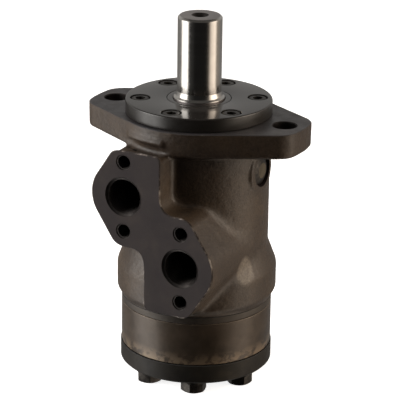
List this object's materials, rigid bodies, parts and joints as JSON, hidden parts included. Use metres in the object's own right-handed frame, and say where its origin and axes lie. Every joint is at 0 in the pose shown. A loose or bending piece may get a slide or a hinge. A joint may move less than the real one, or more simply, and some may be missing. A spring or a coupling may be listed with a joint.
{
  "type": "hydraulic motor",
  "caption": "Orbital gerotor hydraulic motor with keyed cylindrical shaft, round pilot, two-bolt oval flange, side port block and bolted gear set",
  "frame": {"origin": "on the shaft axis, in the plane of the flange's mounting face, where the pilot disc stands on it", "axes": "+Z out along the output shaft, the port face looks along -Y, the drain port looks along +X"},
  "size_m": [0.1306, 0.1003, 0.2115],
  "materials": {
    "cast_housing": "oiled, phosphated sand casting",
    "front_cover": "black oxide, semi-gloss",
    "gear_ring": "oiled steel with worn patches",
    "end_cover": "black oxide, satin",
    "ground_shaft": "ground",
    "hardened_steel": "hardened and ground",
    "black_fasteners": "black oxide",
    "plug_steel": "zinc plated and dulled",
    "washer_copper": "dull",
    "rubber_seals": "matte"
  },
  "bodies": {
    "root": {"cover_o_ring": "rubber_seals", "cover_screw_1": "black_fasteners", "cover_screw_2": "black_fasteners", "cover_screw_3": "black_fasteners", "cover_screw_4": "black_fasteners", "cover_screw_5": "black_fasteners", "cover_screw_6": "black_fasteners", "distributor_plate": "gear_ring", "drain_plug": "plug_steel", "drain_washer": "washer_copper", "dust_seal": "rubber_seals", "end_bolt_1": "black_fasteners", "end_bolt_2": "black_fasteners", "end_bolt_3": "black_fasteners", "end_bolt_4": "black_fasteners", "end_bolt_5": "black_fasteners", "end_bolt_6": "black_fasteners", "end_bolt_7": "black_fasteners", "end_cover": "end_cover", "end_cover_o_ring": "rubber_seals", "end_washer_1": "black_fasteners", "end_washer_2": "black_fasteners", "end_washer_3": "black_fasteners", "end_washer_4": "black_fasteners", "end_washer_5": "black_fasteners", "end_washer_6": "black_fasteners", "end_washer_7": "black_fasteners", "front_cover": "front_cover", "gerotor_ring": "gear_ring", "housing": "cast_housing", "housing_o_ring": "rubber_seals", "plate_o_ring": "rubber_seals", "shaft_seal": "rubber_seals", "thrust_race_upper": "hardened_steel"},
    "shaft": {"output_shaft": "ground_shaft", "shaft_key": "hardened_steel", "thrust_race_lower": "hardened_steel"},
    "needle_cage": {"thrust_needle_cage": "hardened_steel"},
    "orbit": {"rotor_spacer": "hardened_steel"},
    "star": {"gerotor_star": "hardened_steel"},
    "link": {"drive_link": "hardened_steel"}
  },
  "joints": [
    {"name": "shaft_turn", "type": "hinge", "parent": "root", "child": "shaft", "pos_m": [0, 0, 0], "axis": [0, 0, 1], "continuous": true},
    {"name": "cage_turn", "type": "hinge", "parent": "root", "child": "needle_cage", "pos_m": [0, 0, -0.0093], "axis": [0, 0, 1], "continuous": true},
    {"name": "rotor_orbit", "type": "hinge", "parent": "root", "child": "orbit", "pos_m": [0, 0, -0.1243], "axis": [0, 0, 1], "continuous": true},
    {"name": "rotor_spin", "type": "hinge", "parent": "orbit", "child": "star", "pos_m": [0, -0.0031, -0.1243], "axis": [0, 0, 1], "continuous": true},
    {"name": "link_spin", "type": "hinge", "parent": "orbit", "child": "link", "pos_m": [0, 0, -0.053], "axis": [0, 0.0442, 0.999], "continuous": true}
  ],
  "couplings": [
    {"joint": "cage_turn", "follows": "shaft_turn", "ratio": 0.5},
    {"joint": "rotor_orbit", "follows": "shaft_turn", "ratio": -6},
    {"joint": "rotor_spin", "follows": "shaft_turn", "ratio": 7},
    {"joint": "link_spin", "follows": "shaft_turn", "ratio": 7}
  ]
}
